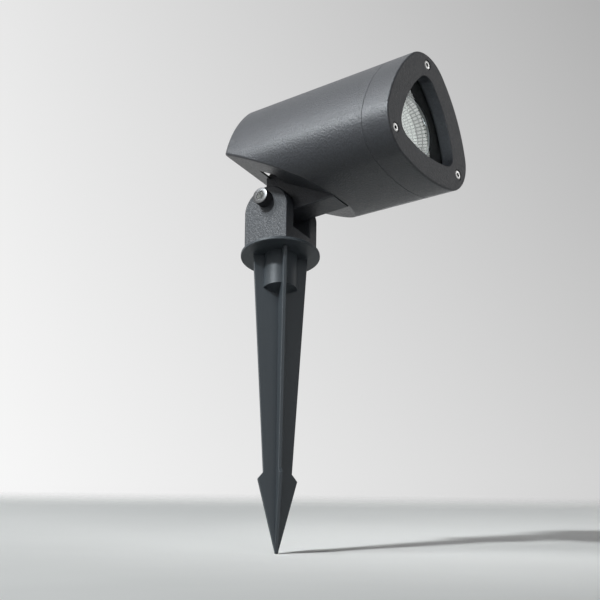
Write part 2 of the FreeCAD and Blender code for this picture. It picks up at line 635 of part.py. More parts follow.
def lamp_base():
    """Ceramic base with a waist."""
    length = LAMP_LENGTH - LAMP_SHOULDER
    start = lamp_axis(LAMP_RIM_X - LAMP_SHOULDER)
    return turned([(0, 0), (0, LAMP_NECK_RADIUS), (LAMP_BASE_STEP, LAMP_NECK_RADIUS),
                   (length, LAMP_BASE_END_RADIUS), (length, 0)], start, -X_AXIS)


def lamp_pins():
    pins = [rod(LAMP_PIN_RADIUS, V(LAMP_BASE_X, side * LAMP_PIN_SPACING / 2, HEAD_AXIS_Z), -X_AXIS,
                LAMP_PIN_LENGTH) for side in (-1, 1)]
    return Part.makeCompound(pins)


# ---------------------------------------------------------------- lampholder and wiring
def lampholder():
    """Ceramic holder with two curved twist slots, drilled for its two screws."""
    body = rod(HOLDER_RADIUS, lamp_axis(LAMP_BASE_X), -X_AXIS, HOLDER_LENGTH)
    depth = LAMP_PIN_LENGTH + SCREW_END_GAP
    for side in (-1, 1):
        pin = V(LAMP_BASE_X + PAST, side * LAMP_PIN_SPACING / 2, HEAD_AXIS_Z)
        body = body.cut(rod(LAMP_PIN_RADIUS + SCREW_CLEARANCE, pin, -X_AXIS, depth + PAST))
        screw = V(LAMP_BASE_X + PAST, 0, HEAD_AXIS_Z + side * HOLDER_SCREW_SPACING / 2)
        body = body.cut(rod(M3_RADIUS, screw, -X_AXIS, HOLDER_LENGTH + 2 * PAST))
        wire = V(HOLDER_REAR_X - PAST, side * LAMP_PIN_SPACING / 2, HEAD_AXIS_Z)
        body = body.cut(rod(WIRE_RADIUS, wire, X_AXIS, PAST + HOLDER_LENGTH - depth - HOLDER_WEB))
    return body


def holder_bracket():
    """Bent steel strap that carries the lampholder and the terminal block."""
    low, high = HEAD_AXIS_Z - BRACKET_HALF_HEIGHT, BLOCK_LOW
    outer = BRACKET_LEG_Y + BRACKET_SHEET
    strap = block((BRACKET_X, -outer, low), (HOLDER_REAR_X, outer, high))
    for side in (-1, 1):
        inner_y, outer_y = sorted((side * BRACKET_LEG_Y, side * outer))
        strap = strap.fuse(block((CHAMBER_REAR_X, inner_y, low), (BRACKET_X, outer_y, high)))
        foot = sorted((side * BRACKET_LEG_Y, side * (outer + BRACKET_FOOT)))
        foot_front_x = CHAMBER_REAR_X + BRACKET_SHEET
        strap = strap.fuse(block((CHAMBER_REAR_X, foot[0], low), (foot_front_x, foot[1], high)))
        hole = V(CHAMBER_REAR_X - PAST, side * FOOT_SCREW_Y, HEAD_AXIS_Z)
        strap = strap.cut(rod(M4_RADIUS + SCREW_CLEARANCE, hole, X_AXIS, BRACKET_SHEET + 2 * PAST))
        screw = V(BRACKET_X - PAST, 0, HEAD_AXIS_Z + side * HOLDER_SCREW_SPACING / 2)
        strap = strap.cut(rod(M3_RADIUS + SCREW_CLEARANCE, screw, X_AXIS, BRACKET_SHEET + 2 * PAST))
        wire = V(BRACKET_X - PAST, side * LAMP_PIN_SPACING / 2, HEAD_AXIS_Z)
        strap = strap.cut(rod(WIRE_HOLE_RADIUS, wire, X_AXIS, BRACKET_SHEET + 2 * PAST))
    strap = strap.cut(rod(M3_RADIUS, earth_point(-PAST), X_AXIS, BRACKET_SHEET + 2 * PAST))
    return strap.removeSplitter()


def holder_screws():
    """Screws through the holder into the bracket's rear side, heads against the strap."""
    screws = [slotted_screw(V(BRACKET_X, 0, HEAD_AXIS_Z + side * HOLDER_SCREW_SPACING / 2), X_AXIS,
                            HOLDER_SCREW_LENGTH) for side in (-1, 1)]
    return Part.makeCompound(screws)


def bracket_screws():
    """Foot screws, driven into the housing's rear wall."""
    head = CHAMBER_REAR_X + BRACKET_SHEET
    screws = [socket_screw(V(head, side * FOOT_SCREW_Y, HEAD_AXIS_Z), -X_AXIS, M4_RADIUS,
                           FOOT_SCREW_LENGTH, M4_HEAD_RADIUS, M4_HEAD_HEIGHT, M4_SOCKET) for side in (-1, 1)]
    return Part.makeCompound(screws)


def pole_y(index):
    """Place of a terminal along the block."""
    return POLE_PITCH * (index - (POLE_COUNT - 1) / 2)


def terminal_block():
    """Three-pole screw terminal on top of the strap."""
    body = block((BLOCK_REAR_X, -BLOCK_LENGTH / 2, BLOCK_LOW),
                 (HOLDER_REAR_X, BLOCK_LENGTH / 2, BLOCK_LOW + BLOCK_HEIGHT))
    for i in range(POLE_COUNT):
        wire = V(BLOCK_REAR_X - PAST, pole_y(i), BLOCK_LOW + BLOCK_HEIGHT / 2)
        body = body.cut(rod(WIRE_HOLE_RADIUS, wire, X_AXIS, BLOCK_DEPTH + 2 * PAST))
        well = V(HOLDER_REAR_X - BLOCK_DEPTH / 2, pole_y(i), BLOCK_LOW + BLOCK_HEIGHT / 2)
        body = body.cut(rod(POLE_SCREW_RADIUS + SCREW_CLEARANCE, well, Z_AXIS, BLOCK_HEIGHT))
    return body


def terminal_screws():
    screws = []
    for i in range(POLE_COUNT):
        start = V(HOLDER_REAR_X - BLOCK_DEPTH / 2, pole_y(i), BLOCK_LOW + BLOCK_HEIGHT / 2 + WIRE_RADIUS)
        screw = rod(POLE_SCREW_RADIUS, start, Z_AXIS, POLE_SCREW_HEIGHT)
        top = start.z + POLE_SCREW_HEIGHT
        slot = block((start.x - POLE_SCREW_RADIUS * 2, start.y - M3_SLOT / 2, top - M3_SLOT),
                     (start.x + POLE_SCREW_RADIUS * 2, start.y + M3_SLOT / 2, top + PAST))
        screws.append(screw.cut(slot))
    return Part.makeCompound(screws)


def earth_point(along):
    """On the earth screw's axis, `along` ahead of the strap's rear face."""
    return V(BRACKET_X + along, EARTH_Y, HEAD_AXIS_Z + EARTH_RISE)


def tag_mouth():
    """Lower end of the axis of the tag's barrel, which lies against the strap."""
    return earth_point(-WIRE_HOLE_RADIUS) + Z_AXIS * (TAG_RADIUS - TAG_THICKNESS)


def earth_tag():
    """Ring tag with a crimped barrel, flat on the strap."""
    tag = rod(TAG_RADIUS, earth_point(-TAG_THICKNESS), X_AXIS, TAG_THICKNESS)
    tag = tag.fuse(rod(WIRE_HOLE_RADIUS, tag_mouth(), Z_AXIS, TAG_BARREL))
    tag = tag.cut(rod(WIRE_RADIUS, tag_mouth() + Z_AXIS * TAG_THICKNESS, Z_AXIS, TAG_BARREL))
    room = rod(M3_HEAD_RADIUS + SCREW_CLEARANCE, earth_point(-TAG_THICKNESS), -X_AXIS, 2 * PAST)
    return tag.cut(room).cut(rod(M3_RADIUS + SCREW_CLEARANCE, earth_point(-PAST), X_AXIS, 2 * PAST))


def earth_screw():
    return slotted_screw(earth_point(-TAG_THICKNESS), X_AXIS, EARTH_SCREW_LENGTH)


def lead(points):
    """A wire through `points`: straight runs joined by tangent arcs as large as the runs allow."""
    edges = []
    last = points[0]
    for before, point, after in zip(points, points[1:], points[2:]):
        back, on = (before - point), (after - point)
        reach = BEND_SHARE * min(back.Length, on.Length)
        start, end = point + back.normalize() * reach, point + on.normalize() * reach
        half_turn = (math.pi - start.sub(point).getAngle(end.sub(point))) / 2
        middle_way = ((start + end) * 0.5 - point).normalize()
        radius = reach / math.tan(half_turn)
        middle = point + middle_way * (radius / math.cos(half_turn) - radius)
        edges.append(Part.LineSegment(last, start).toShape())
        edges.append(Part.Arc(start, middle, end).toShape())
        last = end
    edges.append(Part.LineSegment(last, points[-1]).toShape())
    path = Part.Wire(edges)
    way = (points[1] - points[0]).normalize()
    section = Part.Wire(Part.Circle(points[0], way, WIRE_RADIUS).toShape())
    return path.makePipeShell([section], True, False)


def lamp_lead(side):
    """From the back of the lampholder, in a loop behind the strap, up to an outer terminal."""
    near = LAMP_PIN_SPACING / 2 * side
    far = pole_y((POLE_COUNT - 1) / 2 * (1 + side))
    rise = BLOCK_LOW + BLOCK_HEIGHT / 2
    rear = BLOCK_REAR_X
    middle = (near + far) / 2
    return lead([V(HOLDER_REAR_X + WIRE_RADIUS, near, HEAD_AXIS_Z), V(rear, near, HEAD_AXIS_Z),
                 V(rear - WIRE_LOOP, middle, (2 * HEAD_AXIS_Z + rise) / 3),
                 V(rear - WIRE_LOOP, middle, (HEAD_AXIS_Z + 2 * rise) / 3), V(rear - WIRE_LOOP / 4, far, rise),
                 V(HOLDER_REAR_X - BLOCK_DEPTH / 4, far, rise)])


def live_lead():
    return lamp_lead(1)


def neutral_lead():
    return lamp_lead(-1)


def earth_lead():
    """From the tag's barrel, in a loop behind the strap, up to the middle terminal."""
    start = tag_mouth() + Z_AXIS * TAG_THICKNESS
    rise = BLOCK_LOW + BLOCK_HEIGHT / 2
    rear = BLOCK_REAR_X
    return lead([start, start + Z_AXIS * TAG_BARREL * 2, V(rear, start.y, rise),
                 V(rear - WIRE_LOOP, start.y / 2, rise + WIRE_LOOP / 4), V(rear - WIRE_LOOP / 2, 0, rise),
                 V(HOLDER_REAR_X - BLOCK_DEPTH / 4, 0, rise)])


# ---------------------------------------------------------------- cable gland
def gland_body():
    """Threaded stub through the wall, with its hexagon in the pocket."""
    wall_in = V(GLAND_END_X, 0, ENTRY_Z)
    reach = wall_in.x - POCKET_FRONT_X
    body = rod(GLAND_THREAD_RADIUS, wall_in, -X_AXIS, reach)
    body = body.fuse(hexagon(GLAND_FLATS, V(POCKET_FRONT_X, 0, ENTRY_Z), -X_AXIS, GLAND_HEX_LENGTH))
    return body.cut(rod(GLAND_SEAL_RADIUS, wall_in + X_AXIS * PAST, -X_AXIS, reach + GLAND_HEX_LENGTH + 2 * PAST))


def gland_nut():
    start = V(CHAMBER_REAR_X, 0, ENTRY_Z)
    nut = hexagon(GLAND_FLATS, start, X_AXIS, GLAND_NUT_LENGTH)
    return nut.cut(rod(GLAND_THREAD_RADIUS, start - X_AXIS * PAST, X_AXIS, GLAND_NUT_LENGTH + 2 * PAST))


def gland_dome():
    """Domed nut that squeezes the seal onto the cable."""
    start = V(POCKET_FRONT_X - GLAND_HEX_LENGTH, 0, ENTRY_Z)
    dome = hexagon(GLAND_FLATS, start, -X_AXIS, GLAND_COLLAR)
    dome = dome.fuse(turned([(0, 0), (0, GLAND_FLATS / 2), (GLAND_COLLAR, GLAND_FLATS / 2),
                             (GLAND_DOME_LENGTH, GLAND_DOME_RADIUS), (GLAND_DOME_LENGTH, 0)], start, -X_AXIS))
    dome = dome.cut(rod(GLAND_SEAL_RADIUS, start + X_AXIS * PAST, -X_AXIS, PAST + GLAND_COLLAR))
    return dome.cut(rod(CABLE_RADIUS, start, -X_AXIS, GLAND_DOME_LENGTH + PAST))


def gland_seal():
    """Rubber sleeve inside the gland."""
    start = V(POCKET_FRONT_X - GLAND_HEX_LENGTH - GLAND_COLLAR, 0, ENTRY_Z)
    return ring(GLAND_SEAL_RADIUS, CABLE_RADIUS, start, X_AXIS, GLAND_SEAL_LENGTH)


NODES = (ground_spike, spike_insert, swivel_washer, swivel_bolt, fork_bracket, tilt_shims, tilt_bolt,
         tilt_washer, tilt_nut, housing, front_cap, cap_screws, glass_seal, lens_glass, baffle_ring,
         baffle_screws, lamp_bowl, lamp_cover, lamp_burner, lamp_base, lamp_pins, lampholder,
         holder_bracket, holder_screws, bracket_screws, terminal_block, terminal_screws, earth_tag,
         earth_screw, live_lead, neutral_lead, earth_lead, gland_body,
         gland_nut, gland_dome, gland_seal)


def main():
    os.makedirs("parts", exist_ok=True)
    shapes = {node.__name__: node() for node in NODES}
    shapes["cap_seal"] = seal_groove()
    for name, shape in shapes.items():
        if not shape.isValid():
            print("invalid:", name)
        print(name, len(shape.Solids), "solid(s)", round(shape.Volume / 1000, 2), "cm3")
        shape.exportStep("parts/" + name + ".step")


main()
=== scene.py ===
"""Looks of the garden spike spotlight: finishes, lamp, screws, camera, stage and light, in metres."""
import json
import math
from collections import namedtuple

import bpy
from mathutils import Matrix, Vector

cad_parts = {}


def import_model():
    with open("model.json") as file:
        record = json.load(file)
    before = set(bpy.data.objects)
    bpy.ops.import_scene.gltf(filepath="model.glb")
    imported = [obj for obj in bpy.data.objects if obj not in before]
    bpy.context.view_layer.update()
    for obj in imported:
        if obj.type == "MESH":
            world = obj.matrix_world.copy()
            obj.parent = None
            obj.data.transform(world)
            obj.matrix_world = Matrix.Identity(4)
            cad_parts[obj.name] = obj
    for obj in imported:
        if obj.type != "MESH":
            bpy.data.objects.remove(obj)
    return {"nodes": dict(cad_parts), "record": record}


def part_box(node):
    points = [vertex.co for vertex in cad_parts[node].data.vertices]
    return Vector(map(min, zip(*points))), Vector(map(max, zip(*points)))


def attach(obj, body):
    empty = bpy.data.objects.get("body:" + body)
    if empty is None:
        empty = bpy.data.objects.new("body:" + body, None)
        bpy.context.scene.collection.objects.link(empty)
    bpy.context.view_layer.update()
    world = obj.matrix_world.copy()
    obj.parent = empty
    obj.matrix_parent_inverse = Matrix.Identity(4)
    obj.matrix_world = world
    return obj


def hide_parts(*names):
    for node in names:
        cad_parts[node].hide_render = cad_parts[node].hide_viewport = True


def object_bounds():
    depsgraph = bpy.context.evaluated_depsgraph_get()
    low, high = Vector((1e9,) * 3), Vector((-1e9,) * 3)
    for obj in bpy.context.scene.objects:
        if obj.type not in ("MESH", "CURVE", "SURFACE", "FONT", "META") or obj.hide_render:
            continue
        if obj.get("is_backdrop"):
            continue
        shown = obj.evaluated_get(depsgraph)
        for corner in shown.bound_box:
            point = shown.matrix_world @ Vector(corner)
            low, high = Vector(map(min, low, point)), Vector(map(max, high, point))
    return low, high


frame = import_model()
cad_low, cad_high = (Vector(corner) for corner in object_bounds())

MM = 0.001
NODES = frame["nodes"]

# Camera: a long lens that looks up at the lamp from its near front side. Angles are in degrees.
CAMERA_AZIMUTH = 34.0
CAMERA_ELEVATION = -28.3
CAMERA_ROLL = 0.7
CAMERA_DISTANCE = 5.175
CAMERA_LENS = 411.2           # millimetres, as is the sensor's width
SENSOR_WIDTH = 36.0
CAMERA_SIGHT = 30.0           # how far the camera sees
TARGET_RIGHT = 0.0153         # looked-at point, along the camera's right, from the spike's axis
TARGET_Z = -0.0363


# ---------------------------------------------------------------- small helpers
def box_of(node):
    """A CAD node's corners, as vectors."""
    low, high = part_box(node)
    return Vector(low), Vector(high)


def new_object(name, data):
    obj = bpy.data.objects.new(name, data)
    bpy.context.scene.collection.objects.link(obj)
    return obj


def mesh_object(name, points, faces, materials, face_materials, sharp):
    """A mesh piece, smooth shaded except at edges sharper than `sharp` degrees."""
    mesh = bpy.data.meshes.new(name)
    mesh.from_pydata([tuple(p) for p in points], [], faces)
    for material in materials:
        mesh.materials.append(material)
    mesh.polygons.foreach_set("material_index", face_materials)
    mesh.update()
    mesh.shade_smooth()
    mesh.set_sharp_from_angle(angle=math.radians(sharp))
    return new_object(name, mesh)


def stand_in(obj, body, slot, *nodes):
    """Puts a finished piece on its body and hides the CAD nodes it stands for; `slot`, its finish, is
    not used.
    """
    if nodes:
        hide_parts(*nodes)
    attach(obj, body)


class Lathe:
    """Collects turned forms round any axis into one mesh."""

    def __init__(self):
        self.points = []
        self.faces = []
        self.materials = []

    def turn(self, origin, axis, stations, count):
        """Stations are (along, radius or function of the turn, material of the band that follows)."""
        axis = Vector(axis).normalized()
        side = Vector((0, 0, 1)) if abs(axis.z) < 0.5 else Vector((1, 0, 0))
        across = axis.cross(side)
        first = len(self.points)
        for along, radius, _ in stations:
            for i in range(count):
                turn = 2 * math.pi * i / count
                reach = radius(turn) if callable(radius) else radius
                spot = side * (math.cos(turn) * reach) + across * (math.sin(turn) * reach)
                self.points.append(Vector(origin) + axis * along + spot)
        for band in range(len(stations) - 1):
            for i in range(count):
                a = first + band * count + i
                b = first + band * count + (i + 1) % count
                self.faces.append((a, b, b + count, a + count))
                self.materials.append(stations[band][2])
        self.faces.append(tuple(first + i for i in reversed(range(count))))
        self.materials.append(stations[0][2])
        last = len(self.points) - count
        self.faces.append(tuple(last + i for i in range(count)))
        self.materials.append(stations[-2][2])

    def build(self, name, materials, sharp):
        return mesh_object(name, self.points, self.faces, materials, self.materials, sharp)


class Nodes:
    """A node tree under construction."""

    # A Mix node's colour sockets go by number, because others share their names
    MIX_FACTOR = 0
    MIX_A = 6
    MIX_B = 7
    MIX_RESULT = 2

    def __init__(self, name, world=False):
        if world:
            self.data = bpy.data.worlds.new(name)
        else:
            self.data = bpy.data.materials.new(name)
        self.data.use_nodes = True
        self.tree = self.data.node_tree
        self.tree.nodes.clear()

    def add(self, kind, inputs=None, **settings):
        """A new node, each of its inputs linked to a socket or set to a value."""
        node = self.tree.nodes.new(kind)
        for key, value in settings.items():
            setattr(node, key, value)
        for key, value in (inputs or {}).items():
            if isinstance(value, bpy.types.NodeSocket):
                self.tree.links.new(value, node.inputs[key])
            else:
                node.inputs[key].default_value = value
        return node

    def math(self, operation, a, b=0.0, clamp=False):
        return self.add("ShaderNodeMath", {0: a, 1: b}, operation=operation, use_clamp=clamp).outputs[0]

    def around(self, middle, reach, pattern):
        """`middle`, lower by `reach` where the pattern is 0 and higher by as much where it is 1."""
        return self.math("ADD", middle - reach, self.math("MULTIPLY", pattern, 2 * reach))

    def dot(self, vector, direction):
        return self.add("ShaderNodeVectorMath", {0: vector, 1: tuple(direction)},
                        operation="DOT_PRODUCT").outputs["Value"]

    def span(self, value, start, end, low=0.0, high=1.0):
        """`value` mapped smoothly from start..end to low..high."""
        inputs = {"Value": value, "From Min": start, "From Max": end, "To Min": low, "To Max": high}
        return self.add("ShaderNodeMapRange", inputs, interpolation_type="SMOOTHSTEP").outputs[0]

    def ramp(self, value, start, end):
        """`value` mapped evenly from start..end to 0..1."""
        inputs = {"Value": value, "From Min": start, "From Max": end}
        return self.add("ShaderNodeMapRange", inputs).outputs[0]

    def joint(self, value, start, end):
        """0 inside each whole step of `value`, rising to 1 at the step's borders."""
        part = self.math("FRACT", value)
        return self.span(self.math("ABSOLUTE", self.math("SUBTRACT", part, 0.5)), start, end)

    def mix_colour(self, factor, a, b):
        inputs = {self.MIX_FACTOR: factor, self.MIX_A: a, self.MIX_B: b}
        return self.add("ShaderNodeMix", inputs, data_type="RGBA").outputs[self.MIX_RESULT]

    def mix_shader(self, factor, a, b):
        return self.add("ShaderNodeMixShader", {0: factor, 1: a, 2: b}).outputs[0]

    def noise(self, scale, detail, roughness, where):
        inputs = {"Scale": scale, "Detail": detail, "Roughness": roughness, "Vector": where}
        return self.add("ShaderNodeTexNoise", inputs).outputs["Fac"]

    def place(self):
        return self.add("ShaderNodeTexCoord").outputs["Object"]

    def stretched(self, where, scale):
        return self.add("ShaderNodeMapping", {"Vector": where, "Scale": scale}).outputs[0]

    def backfacing(self):
        return self.add("ShaderNodeNewGeometry").outputs["Backfacing"]

    def bump(self, height, distance, strength, normal=None):
        inputs = {"Height": height, "Distance": distance, "Strength": strength}
        if normal is not None:
            inputs["Normal"] = normal
        return self.add("ShaderNodeBump", inputs).outputs[0]

    def surface(self, colour, roughness, **more):
        """A general surface; `more` names further inputs, such as Metallic, Normal and IOR."""
        inputs = {"Base Color": colour, "Roughness": roughness, **more}
        return self.add("ShaderNodeBsdfPrincipled", inputs).outputs[0]

    def diffuse(self, colour):
        return self.add("ShaderNodeBsdfDiffuse", {"Color": colour}).outputs[0]

    def clear(self, colour=(1, 1, 1, 1)):
        return self.add("ShaderNodeBsdfTransparent", {"Color": colour}).outputs[0]

    def finish(self, shader):
        self.add("ShaderNodeOutputMaterial", {"Surface": shader})
        return self.data


def grey(level):
    return (level, level, level, 1)


def shades(base, darker, lighter):
    """A dark and a light version of a colour."""
    return tuple(c * darker for c in base) + (1,), tuple(min(1, c * lighter) for c in base) + (1,)


# ---------------------------------------------------------------- finishes
# Scales are those of a noise over places in metres, and heights are the depth of its relief.
COAT_GRAIN = 3000
COAT_GRAIN_HEIGHT = 0.10 * MM
COAT_PEEL = 700
COAT_PEEL_HEIGHT = 0.36 * MM
COAT_CLOUD = 16
COAT_IOR = 1.52
PLASTIC_GRAIN = 2600
PLASTIC_GRAIN_HEIGHT = 0.06 * MM
PLASTIC_FLOW = (90, 90, 7)    # scale of the flow streaks, long along the blades
PLASTIC_IOR = 1.49
METAL_MARK_HEIGHT = 0.01 * MM
MATT_CLOUD = 60
GLASS_DUST = 700
GLASS_IOR = 1.45
MIRROR_HAZE = 260
MIRROR_ROUGHNESS = 0.12       # the least, and the most that haze adds to it
RING_JOINT = 0.17             # share of a facet on each side that a dark joint between rings takes
FLUTE_JOINT = 0.26            # the same for the joints between flutes

# The lamp's reflector is a bowl of facets, in rings and flutes
BOWL_RINGS = 12
BOWL_FLUTES = 48
BOWL_MOUTH = 24.0 * MM
BOWL_THROAT = 5.0 * MM
LAMP_AXIS_Z = (box_of("lamp_cover")[0].z + box_of("lamp_cover")[1].z) / 2


def powder_coat(name, base, rough):
    """Fine-textured powder coat: grains a third of a millimetre across, with faint flecks."""
    n = Nodes(name)
    where = n.place()
    grain = n.noise(COAT_GRAIN, 2, 0.6, where)
    orange_peel = n.noise(COAT_PEEL, 2, 0.5, where)
    cloud = n.noise(COAT_CLOUD, 3, 0.55, where)
    fleck = n.span(grain, 0.30, 0.70)
    speckle = n.span(orange_peel, 0.32, 0.68)
    tone = n.math("ADD", n.math("MULTIPLY", fleck, 0.3), n.math("MULTIPLY", cloud, 0.2))
    tone = n.math("ADD", tone, n.math("MULTIPLY", speckle, 0.5), clamp=True)
    dark, light = shades(base, 0.62, 1.42)
    colour = n.mix_colour(tone, dark, light)
    normal = n.bump(orange_peel, COAT_PEEL_HEIGHT, 0.8)
    normal = n.bump(grain, COAT_GRAIN_HEIGHT, 0.8, normal)
    return n.finish(n.surface(colour, n.around(rough, 0.07, speckle), Normal=normal, IOR=COAT_IOR))


def moulded_plastic(name, base, rough):
    """Injection-moulded plastic: spark-eroded grain, with faint flow streaks along the blades."""
    n = Nodes(name)
    where = n.place()
    grain = n.noise(PLASTIC_GRAIN, 2, 0.6, where)
    flow = n.noise(1.0, 4, 0.55, n.stretched(where, PLASTIC_FLOW))
    dark, light = shades(base, 0.82, 1.20)
    normal = n.bump(grain, PLASTIC_GRAIN_HEIGHT, 0.6)
    return n.finish(n.surface(n.mix_colour(flow, dark, light), n.around(rough, 0.05, flow),
                              Normal=normal, IOR=PLASTIC_IOR))


def turned_metal(name, base, rough, scale=900):
    """Bright metal with fine tool marks."""
    n = Nodes(name)
    where = n.place()
    marks = n.noise(scale, 5, 0.7, where)
    wear = n.noise(scale / 2, 4, 0.6, where)
    dark, light = shades(base, 0.8, 1.08)
    normal = n.bump(marks, METAL_MARK_HEIGHT, 0.4)
    return n.finish(n.surface(n.mix_colour(wear, dark, light), n.around(rough, 0.07, marks),
                              Metallic=1.0, Normal=normal))


def dull(name, base, rough, scale=900, height=0.03 * MM, spread=0.15):
    """Plain matt surface: rubber, paint, ceramic or nylon, with grain and slight clouding."""
    n = Nodes(name)
    where = n.place()
    grain = n.noise(scale, 4, 0.6, where)
    cloud = n.noise(MATT_CLOUD, 2, 0.5, where)
    dark, light = shades(base, 1 - spread, 1 + spread)
    return n.finish(n.surface(n.mix_colour(cloud, dark, light), n.around(rough, 0.05, grain),
                              Normal=n.bump(grain, height, 0.6)))


def clear_glass(name, dust_level):
    """Clear sheet glass: straight through, with its surface's reflection and the faintest dust."""
    n = Nodes(name)
    dust = n.noise(GLASS_DUST, 3, 0.6, n.place())
    gloss = n.math("ADD", dust_level, n.math("MULTIPLY", dust, 0.02))
    shine = n.surface((0.9, 0.95, 0.93, 1), gloss, Metallic=1.0)
    front = n.math("SUBTRACT", 1.0, n.backfacing())
    share = n.math("MULTIPLY", n.add("ShaderNodeFresnel", {"IOR": GLASS_IOR}).outputs[0], front)
    return n.finish(n.mix_shader(share, n.clear((0.985, 0.995, 0.99, 1)), shine))


def reflector_metal(name):
    """Vapour-coated facets: bright, a touch softer in patches, and dark in the joints between them."""
    n = Nodes(name)
    haze = n.noise(MIRROR_HAZE, 3, 0.6, n.place())
    gloss = n.math("ADD", MIRROR_ROUGHNESS, n.math("MULTIPLY", haze, MIRROR_ROUGHNESS))
    apart = n.add("ShaderNodeSeparateXYZ", {"Vector": n.place()}).outputs
    y, z = apart["Y"], n.math("SUBTRACT", apart["Z"], LAMP_AXIS_Z)
    flute = n.math("MULTIPLY", n.math("ARCTAN2", z, y), BOWL_FLUTES / (2 * math.pi))
    reach = n.math("POWER", n.math("ADD", n.math("MULTIPLY", y, y), n.math("MULTIPLY", z, z)), 0.5)
    ring_width = (BOWL_MOUTH - BOWL_THROAT) / BOWL_RINGS
    ring = n.math("DIVIDE", n.math("SUBTRACT", BOWL_MOUTH, reach), ring_width)
    outward = n.span(reach, BOWL_MOUTH * 0.6, BOWL_MOUTH * 0.92, 0.2, 1.0)
    ring_joints = n.math("MULTIPLY", n.joint(ring, 0.5 - RING_JOINT, 0.5), outward)
    joints = n.math("MAXIMUM", n.joint(flute, 0.5 - FLUTE_JOINT, 0.5), ring_joints)
    bright = n.mix_colour(haze, (0.78, 0.78, 0.77, 1), (0.92, 0.92, 0.91, 1))
    colour = n.mix_colour(joints, bright, (0.10, 0.10, 0.105, 1))
    return n.finish(n.surface(colour, gloss, Metallic=1.0))


ANTHRACITE = (0.028, 0.0305, 0.0355)
# The bracket's coat is the anthracite made a little darker: painted shade on the fork's ears
BRACKET_SHADED_GREY = (0.025, 0.028, 0.0325)
SPIKE_GREY = (0.041, 0.050, 0.057)

coat = powder_coat("anthracite_powder_coat", ANTHRACITE, 0.43)
shaded_bracket_coat = powder_coat("bracket_powder_coat_painted_shade", BRACKET_SHADED_GREY, 0.52)
spike_grey = moulded_plastic("anthracite_moulded_plastic", SPIKE_GREY, 0.50)
stainless = turned_metal("stainless_steel", (0.72, 0.72, 0.71), 0.26)
bolt_steel = turned_metal("bolt_steel", (0.12, 0.12, 0.12), 0.34)
# Pale matt paint on the tilt bolt's socket floor: a painted highlight, the bright spot seen in the
# socket
socket_highlight_paint = dull("painted_socket_highlight", (0.66, 0.66, 0.64), 0.4)
# Dark steel for the tilt bolt's knurled barrel, partly painted shade, and for the swivel bolt's socket,
# painted shade
dark_steel_and_painted_shade = turned_metal("dark_steel_with_painted_shade", (0.10, 0.10, 0.105), 0.42)
zinc = turned_metal("zinc_steel", (0.50, 0.50, 0.49), 0.36, scale=500)
brass = turned_metal("brass", (0.66, 0.50, 0.24), 0.3, scale=700)
nylon = dull("black_nylon", (0.018, 0.018, 0.019), 0.5)
rubber = dull("black_silicone", (0.012, 0.012, 0.012), 0.62)
# Matt black paint of the baffle, which the cap screws' sides and sockets also wear as painted shade
black_paint_and_painted_shade = dull("matt_black_paint_and_painted_shade", (0.004, 0.004, 0.0045), 0.7)
ceramic = dull("white_steatite", (0.78, 0.76, 0.71), 0.42, scale=1400, height=0.02 * MM,
               spread=0.05)
terminal = dull("white_terminal_plastic", (0.72, 0.71, 0.67), 0.4, scale=1600,
                height=0.01 * MM, spread=0.04)
sleeve = dull("silicone_sleeve", (0.62, 0.58, 0.50), 0.5, scale=1200, height=0.01 * MM,
              spread=0.06)
earth = dull("earth_sleeve", (0.30, 0.45, 0.05), 0.45, scale=1200, height=0.01 * MM,
             spread=0.2)
window_glass = clear_glass("window_glass", 0.0)
lamp_glass = clear_glass("lamp_glass", 0.02)
mirror = reflector_metal("lamp_reflector_coating")
pressed_glass = dull("pressed_glass_rim", (0.86, 0.87, 0.87), 0.25, scale=1400,
                     height=0.01 * MM, spread=0.04)

BY_SLOT = {"spike_plastic": spike_grey, "powder_coat": coat, "stainless": stainless,
           "zinc_steel": zinc, "brass_insert": brass, "friction_washer": nylon,
           "gland_plastic": nylon, "seal_rubber": rubber, "baffle_black": black_paint_and_painted_shade,
           "lamp_ceramic": ceramic, "terminal_plastic": terminal, "lead_sleeve": sleeve,
           "earth_sleeve": earth, "clear_glass": window_glass, "lamp_glass": lamp_glass,
           "lamp_reflector": mirror}

for entry in frame["record"]["subparts"]:
    obj = NODES[entry["node"]]
    obj.data.materials.clear()
    obj.data.materials.append(BY_SLOT[entry["material_slot"]])
# The fork bracket wears the darker copy of the coat as painted shade
NODES["fork_bracket"].data.materials[0] = shaded_bracket_coat


# ---------------------------------------------------------------- lamp
FACET_STEPS = 4
FACET_BULGE = 0.10 * MM
FACET_SHARP = 12              # degrees
LAMP_COVER = 1.0 * MM
BOWL_DEPTH = 24.0 * MM
BOWL_NECK = 12.0 * MM
BOWL_COLLAR = 4.0 * MM        # depth of the straight part behind the rim
BOWL_BACK = ((0.8, 0.62), (0.5, 0.83), (0.3, 0.95))   # shares of the bowl's length and radius
THROAT_LENGTH = 3.2 * MM
RIM_BEVEL_DEPTH = 0.20 * MM
RIM_BEVEL_WIDTH = 0.15 * MM
RIM_LIP_DEPTH = 0.15 * MM
RIM_LIP_WIDTH = 0.10 * MM
RIM_DOTS = 60
RIM_DOT_DEPTH = 0.25 * MM
RIM_EDGE_ROWS = 2             # rows of the outside that belong to the bright rim
MIRROR_PART, RIM_PART = 0, 1  # the bowl's two materials

COIL_TURNS = 9
COIL_STEPS = 14               # for each turn
COIL_RADIUS = 0.7 * MM
COIL_LENGTH = 4.4 * MM
COIL_WIRE = 0.12 * MM
COIL_FORWARD = 2.0 * MM       # from the capsule's middle
POST_BESIDE = 0.2 * MM        # between a post's top and the coil's end
POST_APART = 1.2 * MM         # from the lamp's axis to a post's foot
POST_FOOT = 1.0 * MM          # inside the capsule's rear end


def pillow(part):
    """Crown of a facet across one step: 0 at its borders and 1 in its middle."""
    return 4 * part * (1 - part)


